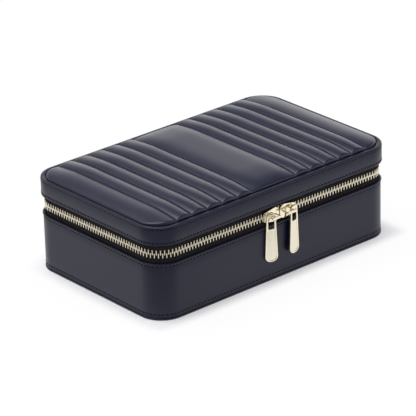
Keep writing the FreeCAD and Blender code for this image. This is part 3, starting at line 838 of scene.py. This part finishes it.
def slim_teeth(bm):
    """Narrows each tooth along the zip, so that the dark tape shows between two."""
    for tooth in islands(bm):
        middle = sum((v.co for v in tooth), Vector()) / len(tooth)
        wide, deep = HALF_WIDTH - CORNER, HALF_DEPTH - CORNER
        inner = Vector((min(wide, max(-wide, middle.x)), min(deep, max(-deep, middle.y)), middle.z))
        ahead = (middle - inner).normalized().cross(Vector((0, 0, 1)))
        for vert in tooth:
            vert.co -= ahead * (vert.co - middle).dot(ahead) * TOOTH_SLIMMING


make_tape("base_tape", TAPE_LOW, BASE_TAPE_EDGE, "base", "base_zip_tape")
make_tape("lid_tape", TAPE_TOP, LID_TAPE_EDGE, "lid", "lid_zip_tape")
for half in ("base", "lid"):
    teeth = rounded_copy(f"{half}_zip_teeth", TOOTH_EDGE)
    slim_teeth(teeth)
    make_piece(f"{half}_teeth", teeth, tooth_brass, half, [f"{half}_zip_teeth"], crease=70)
    stops = rounded_copy(f"{half}_zip_stops", STOP_EDGE)
    make_piece(f"{half}_stops", stops, tooth_brass, half, [f"{half}_zip_stops"], crease=70)


# Sliders, bails and pull tabs, drawn flat with the nose towards +X and the front towards +Z


def rectangle(left, low, right, high):
    """The corners of a flat rectangle, in order."""
    return [(left, low), (right, low), (right, high), (left, high)]


def rounded_loop(corners, radii, segments=6):
    """A flat outline whose corners are rounded, each by its own radius."""
    bm = bmesh.new()
    verts = [bm.verts.new((x, y, 0)) for x, y in corners]
    bm.faces.new(verts)
    for vert, radius in zip(verts, radii):
        bevel(bm, [vert], radius, segments, affect="VERTICES")
    bm.faces.ensure_lookup_table()
    points = [v.co.copy() for v in bm.faces[0].verts]
    bm.free()
    return points


def flat_plate(outline, low, high, edge, holes=()):
    """A plate between two levels with rounded edges, from an outline and holes in it."""
    curve = bpy.data.curves.new("plate", "CURVE")
    curve.dimensions = "2D"
    curve.fill_mode = "BOTH"
    curve.bevel_depth = edge
    curve.bevel_resolution = 2
    curve.extrude = (high - low) / 2 - edge
    curve.offset = -edge
    for loop in (outline, *[list(reversed(hole)) for hole in holes]):
        spline = curve.splines.new("POLY")
        spline.points.add(len(loop) - 1)
        for point, place in zip(spline.points, loop):
            point.co = (place.x, place.y, 0, 1)
        spline.use_cyclic_u = True
    carrier = bpy.data.objects.new("plate", curve)
    mesh = bpy.data.meshes.new_from_object(carrier)
    bpy.data.objects.remove(carrier)
    bm = bmesh.new()
    bm.from_mesh(mesh)
    bpy.data.meshes.remove(mesh)
    bmesh.ops.remove_doubles(bm, verts=bm.verts, dist=WELD)
    bmesh.ops.translate(bm, vec=(0, 0, (low + high) / 2), verts=bm.verts)
    bmesh.ops.recalc_face_normals(bm, faces=bm.faces)
    return bm


def join(bm, other):
    """Adds another bmesh to this one."""
    mesh = to_mesh("joined", other)
    bm.from_mesh(mesh)
    bpy.data.meshes.remove(mesh)


SLIDER_LOW, SLIDER_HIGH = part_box("left_slider")
SLIDER_HALF = (SLIDER_HIGH.x - SLIDER_LOW.x) / 2
SLIDER_FRONT = CHAIN_Y - SLIDER_LOW.y
SLIDER_CHANNEL = SLIDER_FRONT - 1.0 * MM
SLIDER_NOSE = 6.2 * MM
SLIDER_TAIL = 3.6 * MM
SLIDER_EDGE = 0.42 * MM
NOSE_ROUND = 5.0 * MM
TAIL_ROUND = 1.2 * MM
WEDGE_HALF = 1.0 * MM
WEDGE_TIP = SLIDER_HALF - 4.0 * MM
WEDGE_SHOULDER = SLIDER_HALF - 2.0 * MM
WEDGE_NOSE = SLIDER_HALF - 0.2 * MM
WEDGE_ROUND = 0.2 * MM
WEDGE_EDGE = 0.05 * MM
BAIL_WIRE = 1.0 * MM
BAIL_REAR = 3.2 * MM
BAIL_FRONT = 4.1 * MM
BAIL_ROUND = 0.9 * MM
CROWN_EDGE = 0.45 * MM
LEG_SINK = 0.2 * MM
LEG_FLARE = ((0.9 * MM, 0.0), (0.65 * MM, 0.5 * MM), (BAIL_WIRE / 2, 1.0 * MM))
LEG_STEPS = 16
BAIL_LOW, BAIL_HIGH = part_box("left_bail")
BAIL_TOP = CHAIN_Y - BAIL_LOW.y
CROWN_HALF = (BAIL_HIGH.z - BAIL_LOW.z) / 2


def slider_place(side):
    """Where a slider's flat drawing goes: its nose towards the other slider, its front to the outside."""
    low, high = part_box(f"{side}_slider")
    turn = Matrix.Rotation(0 if side == "left" else math.pi, 4, "Y")
    return Matrix.Translation(((low.x + high.x) / 2, CHAIN_Y, CHAIN_LEVEL)) @ turn @ UPRIGHT


def make_slider(side):
    """Two domed plates joined by a wedge between the rows of teeth."""
    corners = [
        (-SLIDER_HALF, -SLIDER_TAIL),
        (SLIDER_HALF, -SLIDER_NOSE),
        (SLIDER_HALF, SLIDER_NOSE),
        (-SLIDER_HALF, SLIDER_TAIL),
    ]
    outline = rounded_loop(corners, (TAIL_ROUND, NOSE_ROUND, NOSE_ROUND, TAIL_ROUND))
    bm = flat_plate(outline, SLIDER_CHANNEL, SLIDER_FRONT, SLIDER_EDGE)
    join(bm, flat_plate(outline, -SLIDER_FRONT, -SLIDER_CHANNEL, SLIDER_EDGE))
    wedge = [
        (WEDGE_TIP, 0),
        (WEDGE_SHOULDER, -WEDGE_HALF),
        (WEDGE_NOSE, -WEDGE_HALF),
        (WEDGE_NOSE, WEDGE_HALF),
        (WEDGE_SHOULDER, WEDGE_HALF),
    ]
    post = rounded_loop(wedge, (WEDGE_ROUND,) * len(wedge), segments=2)
    join(bm, flat_plate(post, -SLIDER_CHANNEL, SLIDER_CHANNEL, WEDGE_EDGE))
    bm.transform(slider_place(side))
    make_piece(f"{side}_slider_body", bm, polished_brass, f"{side}_slider", [f"{side}_slider"])


def make_bail(side):
    """A broad crown on two flared legs."""
    rear, front = -BAIL_REAR - BAIL_WIRE / 2, BAIL_FRONT + BAIL_WIRE / 2
    crown = rounded_loop(rectangle(rear, -CROWN_HALF, front, CROWN_HALF), (BAIL_ROUND,) * 4)
    bm = flat_plate(crown, BAIL_TOP - BAIL_WIRE, BAIL_TOP, CROWN_EDGE)
    foot = SLIDER_FRONT - LEG_SINK
    profile = [(radius, foot + rise) for radius, rise in LEG_FLARE]
    profile += [(BAIL_WIRE / 2, BAIL_TOP - BAIL_WIRE / 2)]
    for leg in (-BAIL_REAR, BAIL_FRONT):
        verts = [bm.verts.new((leg + radius, 0, level)) for radius, level in profile]
        edges = [bm.edges.new(pair) for pair in zip(verts, verts[1:])]
        bmesh.ops.spin(
            bm,
            geom=verts + edges,
            cent=(leg, 0, 0),
            axis=(0, 0, 1),
            angle=2 * math.pi,
            steps=LEG_STEPS,
            use_merge=True,
        )
    close_ends(bm)
    bmesh.ops.recalc_face_normals(bm, faces=bm.faces)
    bm.transform(slider_place(side))
    make_piece(f"{side}_crown", bm, polished_brass, f"{side}_slider", [f"{side}_bail"])


PULL_TURN = {"left": math.radians(-19), "right": math.radians(8)}
PULL_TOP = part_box("left_pull")[1].z - CHAIN_LEVEL
PULL_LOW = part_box("left_pull")[0].z - CHAIN_LEVEL
PULL_TOP_HALF = 3.45 * MM
PULL_LOW_HALF = 5.05 * MM
PULL_THICK = 0.75 * MM
PULL_RIM = 1.0 * MM
PULL_SUNK = 0.3 * MM
FACE_LAP = 0.35 * MM
SLOT_HALF = 2.3 * MM
SLOT_TOP = 0.6 * MM
SLOT_LOW = -8.3 * MM
TAB_ROUNDS = (4.4 * MM, 4.4 * MM, 2.2 * MM, 2.2 * MM)
FACE_ROUNDS = (3.4 * MM, 3.4 * MM, 0.6 * MM, 0.6 * MM)
SLOT_ROUNDS = (0.8 * MM, 0.8 * MM, 0.5 * MM, 0.5 * MM)
TAB_STEPS = 10
TAB_EDGE = 0.28 * MM
FACE_EDGE = 0.05 * MM


def tab_half(level):
    """Half the pull tab's width at a level."""
    return PULL_TOP_HALF + (PULL_LOW_HALF - PULL_TOP_HALF) * (PULL_TOP - level) / (PULL_TOP - PULL_LOW)


def tab_corners(low, high, rim):
    """The corners of the tapered tab between two levels, drawn in by a rim."""
    return [
        (-tab_half(low) + rim, low),
        (tab_half(low) - rim, low),
        (tab_half(high) - rim, high),
        (-tab_half(high) + rim, high),
    ]


def make_pull(side):
    """A tapered tab with a polished rim, a sunk satin face and a window for the bail."""
    body = f"{side}_pull"
    low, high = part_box(body)
    turn = Matrix.Rotation(PULL_TURN[side], 4, "Z") @ UPRIGHT
    place = Matrix.Translation(((low.x + high.x) / 2, (low.y + high.y) / 2, CHAIN_LEVEL)) @ turn
    outline = rounded_loop(tab_corners(PULL_LOW, PULL_TOP, 0), TAB_ROUNDS, TAB_STEPS)
    window = rounded_loop(rectangle(-SLOT_HALF, SLOT_LOW, SLOT_HALF, SLOT_TOP), SLOT_ROUNDS)
    sunk_low, sunk_top = PULL_LOW + PULL_RIM, SLOT_LOW - PULL_RIM
    sunk = rounded_loop(tab_corners(sunk_low, sunk_top, PULL_RIM), FACE_ROUNDS, TAB_STEPS)
    rim = flat_plate(outline, -PULL_THICK, PULL_THICK, TAB_EDGE, holes=(window, sunk))
    rim.transform(place)
    make_piece(f"{side}_tab_rim", rim, polished_brass, body, [body])
    lapped = tab_corners(sunk_low - FACE_LAP, sunk_top + FACE_LAP, PULL_RIM - FACE_LAP)
    face = rounded_loop(lapped, FACE_ROUNDS, TAB_STEPS)
    panel = flat_plate(face, FACE_LAP - PULL_THICK, PULL_THICK - PULL_SUNK, FACE_EDGE)
    panel.transform(place)
    make_piece(f"{side}_tab_face", panel, satin_brass, body)


for side in ("left", "right"):
    make_slider(side)
    make_bail(side)
    make_pull(side)


# Leather spine at the back, at the lid's hinge

SPINE_HALF = TAPE_END - 0.2 * MM


def make_spine():
    """A leather strip let in under both skins at the back, where the lid turns."""
    bm = bmesh.new()
    bmesh.ops.create_grid(bm, x_segments=20, y_segments=48, size=1)
    middle, half = (TAPE_LOW + TAPE_TOP) / 2, (TAPE_TOP - TAPE_LOW) / 2
    shape = UPRIGHT @ Matrix.Diagonal((SPINE_HALF, half, 1, 1))
    bm.transform(Matrix.Translation((0, HALF_DEPTH - LEATHER, middle)) @ shape)
    bm.normal_update()
    bmesh.ops.solidify(bm, geom=bm.faces[:], thickness=TAPE)
    bmesh.ops.recalc_face_normals(bm, faces=bm.faces)
    inner = min(v.co.y for v in bm.verts)
    bmesh.ops.translate(bm, vec=(0, HALF_DEPTH - LEATHER - TAPE - inner, 0), verts=bm.verts)
    spine = make_piece("leather_spine", bm, wall_leather, None, ["hinge_spine"])
    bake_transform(spine)


make_spine()


# Linings, trays, ring rolls and mirror

LINING_BACK = LEATHER + BOARD
LINING_FACE = LINING_BACK + LINING
LINING_ROWS = (0.3, 0.6, 0.9)
LINING_TUCK = LEATHER + TAPE + 0.15 * MM
ROLL_OVER = 0.4 * MM
ROLL_START = 0.5 * MM
ROLL_EASE = 0.25 * MM
ROLL_TOP = 0.8 * MM
ROLL_TURN = 0.4 * MM
BOARD_GAP = 0.05 * MM
CUSHION_SHOULDER = 9 * MM
CUSHION_SINK = 0.5 * MM
CUSHION_RISE = 0.9 * MM
CUSHION_COLUMNS = 120
CUSHION_ROWS = 72
DIVIDER_EDGE = 1.1 * MM
RING_BLOCK_EDGE = 1.2 * MM
RING_ROLLS = 4
RING_ROUND = 4.8 * MM
RING_END_ROUND = 1.3 * MM
RING_CUTS = 40
HEADLINER_EDGE = 0.6 * MM
MIRROR_ROUND = 6 * MM
MIRROR_BEVEL = 0.7 * MM
FRAME_ROUND = 12 * MM
FRAME_WIDTH = 9 * MM
FRAME_EDGE = 1.1 * MM
SIGHT_ROUND = 3 * MM


def make_lining(name, far, edge, body, node):
    """A suede wall lining, rolled over the board's edge."""
    way = 1 if edge > far else -1
    over = edge + way * ROLL_OVER
    under = edge + way * BOARD_GAP
    section = [(LINING_BACK, far), (LINING_FACE, far)]
    section += [(LINING_FACE, far + (edge - far) * share) for share in LINING_ROWS]
    section += [(LINING_FACE, edge - way * ROLL_START), (LINING_FACE - ROLL_EASE, edge)]
    section += [(LINING_FACE - ROLL_TOP, over), (LINING_TUCK + ROLL_TURN, over)]
    section += [(LINING_TUCK, under), (LINING_BACK, under)]
    bm = bmesh.new()
    sweep_outline(bm, section, closed=True)
    make_piece(name, bm, pale_suede, body, [node])


def make_floor_cushion():
    """A thin padded floor, pressed down along the dividers that stand on it."""
    low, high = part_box("floor_pad")
    dividers = [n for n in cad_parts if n.endswith("_divider")]

    def level(x, y):
        near = 1.0
        for node in dividers:
            start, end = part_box(node)
            away_x = max(start.x - x, x - end.x, 0.0)
            away_y = max(start.y - y, y - end.y, 0.0)
            near = min(near, math.hypot(away_x, away_y) / CUSHION_SHOULDER)
        edge = min(high.x - abs(x), high.y - abs(y)) / CUSHION_SHOULDER
        swell = math.sin(math.pi / 2 * min(1.0, near, max(edge, 0.0)))
        return high.z - CUSHION_SINK + CUSHION_RISE * swell

    step = (high.x - low.x) / CUSHION_COLUMNS
    columns = [low.x + step * i for i in range(CUSHION_COLUMNS + 1)]
    bm = padded_sheet(columns, CUSHION_ROWS, high.x, high.y, CORNER - LINING_FACE, low.z, level)
    cushion = make_piece("floor_cushion", bm, pale_suede, "base", ["floor_pad"])


def square_block(low, high):
    """A block between two corners."""
    bm = bmesh.new()
    bmesh.ops.create_cube(bm, size=1)
    bmesh.ops.scale(bm, vec=high - low, verts=bm.verts)
    bmesh.ops.translate(bm, vec=(low + high) / 2, verts=bm.verts)
    return bm


def make_wrapped_block(node, edge):
    """A suede-wrapped block with eased edges."""
    bm = square_block(*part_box(node))
    bevel(bm, bm.edges[:], edge, segments=3)
    make_piece(f"suede_{node}", bm, pale_suede, "base", [node])


def run_along_x(edge):
    """How far an edge runs from left to right."""
    return abs(edge.verts[0].co.x - edge.verts[1].co.x)


def make_ring_roll(number):
    """A stuffed roll with a round top and soft ends."""
    node = f"ring_roll_{number}"
    low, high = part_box(node)
    bm = square_block(low, high)
    middle = (low.z + high.z) / 2
    upper = [e for e in bm.edges if run_along_x(e) > LEVEL and e.verts[0].co.z > middle]
    bevel(bm, upper, RING_ROUND, segments=7)
    ends = [e for e in bm.edges if run_along_x(e) < LEVEL]
    bevel(bm, ends, RING_END_ROUND, segments=4)
    long_edges = [e for e in bm.edges if run_along_x(e) > (high.x - low.x) / 2]
    bmesh.ops.subdivide_edges(bm, edges=long_edges, cuts=RING_CUTS)
    roll = make_piece(f"ring_cushion_{number}", bm, pale_suede, "base", [node])


def make_mirror():
    """Bevelled glass in a wrapped frame."""
    make_slab(
        "mirror_glass", "mirror", MIRROR_ROUND, MIRROR_BEVEL, silvered_glass, "lid", segments=1
    )
    low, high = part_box("mirror_frame")
    outer = rounded_loop(rectangle(low.x, low.y, high.x, high.y), (FRAME_ROUND,) * 4, segments=14)
    wide, deep = high.x - FRAME_WIDTH, high.y - FRAME_WIDTH
    sight = rounded_loop(rectangle(-wide, -deep, wide, deep), (SIGHT_ROUND,) * 4, segments=8)
    bm = flat_plate(outer, low.z, high.z, FRAME_EDGE, holes=(sight,))
    make_piece("wrapped_mirror_frame", bm, pale_suede, "lid", ["mirror_frame"])


make_lining("base_wall_lining", FLOOR_TOP, BOARD_TOP, "base", "base_lining")
make_lining("lid_wall_lining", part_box("headliner")[0].z, LID_BOARD_LOW, "lid", "lid_lining")
make_floor_cushion()
for place in ("long", "front_left", "front_right", "back_left", "back_right"):
    make_wrapped_block(f"{place}_divider", DIVIDER_EDGE)
make_wrapped_block("ring_block", RING_BLOCK_EDGE)
for number in range(RING_ROLLS):
    make_ring_roll(number + 1)
make_slab("suede_headliner", "headliner", CORNER - LINING_BACK, HEADLINER_EDGE, pale_suede, "lid")
make_mirror()


# Finishes on the CAD nodes that stay

for node in ("base_frame", "floor_board", "lid_frame", "lid_top_board"):
    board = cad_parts[node].data
    board.materials.clear()
    board.materials.append(fibreboard)


# Floor, light and camera

PHOTO_YAW = math.radians(-40.51)
PHOTO_PITCH = math.radians(24.29)
PHOTO_ROLL = math.radians(-1.55)
PHOTO_DISTANCE = 2.0534
PHOTO_LENS = 246.55
PHOTO_SENSOR = 36
CLIP_END = 50
AIM = Vector((0, 0, 30 * MM))
AIM_RIGHT = -4.34 * MM
AIM_UP = 1.11 * MM


def make_camera():
    """The photograph's camera: its turn, tilt and roll round the point it aims at."""
    back = Vector((
        math.sin(PHOTO_YAW) * math.cos(PHOTO_PITCH),
        -math.cos(PHOTO_YAW) * math.cos(PHOTO_PITCH),
        math.sin(PHOTO_PITCH),
    ))
    level_right = Vector((math.cos(PHOTO_YAW), math.sin(PHOTO_YAW), 0))
    level_up = back.cross(level_right)
    right = level_right * math.cos(PHOTO_ROLL) + level_up * math.sin(PHOTO_ROLL)
    up = level_up * math.cos(PHOTO_ROLL) - level_right * math.sin(PHOTO_ROLL)
    camera = add_object("camera", bpy.data.cameras.new("camera"))
    camera.data.sensor_width = PHOTO_SENSOR
    camera.data.lens = PHOTO_LENS
    camera.data.clip_end = CLIP_END
    place = AIM + right * AIM_RIGHT + up * AIM_UP + back * PHOTO_DISTANCE
    camera.matrix_world = Matrix.Translation(place) @ Matrix((right, up, back)).transposed().to_4x4()
    bpy.context.scene.camera = camera


FLOOR_HALF = 6
FLOOR_DROP = 0.05 * MM
FLOOR_COLOUR = (0.92, 0.92, 0.95, 1)
# Near the case the floor's white glow drops from FLOOR_WHITE to FLOOR_SHADED, which paints a shadow band
# over the rendered shadow.
FLOOR_WHITE = 0.92
FLOOR_SHADED = 0.28
SHADE_NEAR = 1 * MM
SHADE_FAR = 14 * MM
WORLD_LIGHT = 0.65
WHITE = (1, 1, 1, 1)
CAMERA_SIDE_DIM = 0.5
FLOOR_DIM_SPAN = (-0.19, -0.09)
ROOM_DIM_SPAN = (-0.5, 0.2)
CEILING_SPAN = (0.36, 0.60)
CEILING_DIM = 0.22
SOFTBOXES = {
    "top_softbox": {"place": (-0.2, 0.3, 1.5), "aim_level": 0.0, "size": (1.2, 1.2), "power": 16},
    "front_fill": {"place": (0.9, -1.4, 0.8), "aim_level": 0.03, "size": (0.8, 0.8), "power": 1.5},
    "back_strip": {"place": (1.7, 1.2, 0.3), "aim_level": 0.07, "size": (2.4, 0.7), "power": 3.5},
}


def mix_shaders(tree, share, first, second):
    return add_node(tree, "MixShader", {0: share, 1: first, 2: second}).outputs["Shader"]


def backlight(tree, strength):
    """White light from all round."""
    return add_node(tree, "Background", {"Color": WHITE, "Strength": strength}).outputs["Background"]


def fade(tree, value, low, high, start, end):
    """A strength that runs smoothly from start to end as a value goes from low to high."""
    sockets = {"Value": value, "From Min": low, "From Max": high, "To Min": start, "To Max": end}
    return add_node(tree, "MapRange", sockets, interpolation_type="SMOOTHSTEP").outputs["Result"]


def along_view(tree, vector):
    """How far a vector runs level with the photograph's view, away from the camera."""
    level = (-math.sin(PHOTO_YAW), math.cos(PHOTO_YAW), 0)
    return add_node(tree, "VectorMath", {0: vector, 1: level}, operation="DOT_PRODUCT").outputs["Value"]


def away_from_case(tree, place):
    """How far a point of the floor is outside the case's walls."""
    middle = add_node(tree, "VectorMath", {0: place}, operation="ABSOLUTE").outputs["Vector"]
    walls = {0: middle, 1: (HALF_WIDTH, HALF_DEPTH, 0)}
    past = add_node(tree, "VectorMath", walls, operation="SUBTRACT").outputs["Vector"]
    outside = add_node(tree, "VectorMath", {0: past, 1: (0, 0, 0)}, operation="MAXIMUM").outputs["Vector"]
    return add_node(tree, "VectorMath", {0: outside}, operation="LENGTH").outputs["Value"]


def make_floor():
    """A white floor that shows the rendered shadow close to the case, deepened there by a painted shadow
    where its white glow fades out.
    """
    bm = bmesh.new()
    bmesh.ops.create_grid(bm, x_segments=1, y_segments=1, size=FLOOR_HALF)
    bmesh.ops.translate(bm, vec=(0, 0, -FLOOR_DROP), verts=bm.verts)
    floor = add_object("floor", to_mesh("floor", bm))
    material, tree, shader = new_material("white_floor", Roughness=0.9, Specular_IOR_Level=0.0)
    shader.inputs["Base Color"].default_value = FLOOR_COLOUR
    path = add_node(tree, "LightPath")
    place = own_place(tree)
    # Painted shade: in reflections the floor's white glow is dimmer on the camera side, as if that side of
    # the floor were unlit.
    glow_with_painted_shade = fade(tree, along_view(tree, place), *FLOOR_DIM_SPAN, CAMERA_SIDE_DIM, 1.0)
    strength = combine(tree, "MAXIMUM", path.outputs["Is Camera Ray"], glow_with_painted_shade)
    white = add_node(tree, "Emission", {"Color": WHITE, "Strength": strength}).outputs["Emission"]
    seen = combine(tree, "MAXIMUM", path.outputs["Is Camera Ray"], path.outputs["Is Glossy Ray"])
    # Painted shadow: close to the case the white glow gives way to the lit floor, darkening a band round
    # the case on top of its real shadow.
    painted_shadow_fade = fade(tree, away_from_case(tree, place), SHADE_NEAR, SHADE_FAR, FLOOR_SHADED, FLOOR_WHITE)
    share = combine(tree, "MULTIPLY", seen, painted_shadow_fade)
    surface = mix_shaders(tree, share, shader.outputs["BSDF"], white)
    set_inputs(tree, tree.nodes["Material Output"], {"Surface": surface})
    floor.data.materials.append(material)


def make_world():
    """Even light from all round, and in reflections a white backdrop in a dimmer room."""
    world = bpy.data.worlds.new("studio")
    bpy.context.scene.world = world
    world.use_nodes = True
    tree = world.node_tree
    tree.nodes.clear()
    direction = add_node(tree, "TexCoord").outputs["Generated"]
    height = add_node(tree, "SeparateXYZ", {"Vector": direction}).outputs["Z"]
    overhead = fade(tree, height, *CEILING_SPAN, 1.0, CEILING_DIM)
    behind = fade(tree, along_view(tree, direction), *ROOM_DIM_SPAN, CAMERA_SIDE_DIM, 1.0)
    backdrop = backlight(tree, combine(tree, "MULTIPLY", overhead, behind))
    path = add_node(tree, "LightPath")
    straight = combine(tree, "MAXIMUM", path.outputs["Is Camera Ray"], path.outputs["Is Transmission Ray"])
    soft = mix_shaders(tree, path.outputs["Is Glossy Ray"], backlight(tree, WORLD_LIGHT), backdrop)
    final = mix_shaders(tree, straight, soft, backlight(tree, 1.0))
    add_node(tree, "OutputWorld", {"Surface": final})


def make_softbox(name, place, aim_level, size, power):
    lamp = bpy.data.lights.new(name, "AREA")
    lamp.shape = "RECTANGLE"
    lamp.size, lamp.size_y = size
    lamp.energy = power
    softbox = add_object(name, lamp)
    softbox.location = place
    softbox.rotation_mode = "QUATERNION"
    aim = Vector((0, 0, aim_level)) - Vector(place)
    softbox.rotation_quaternion = aim.to_track_quat("-Z", "Y")


make_camera()
make_floor()
make_world()
for name, settings in SOFTBOXES.items():
    make_softbox(name, **settings)
bpy.context.scene.view_settings.view_transform = "Standard"
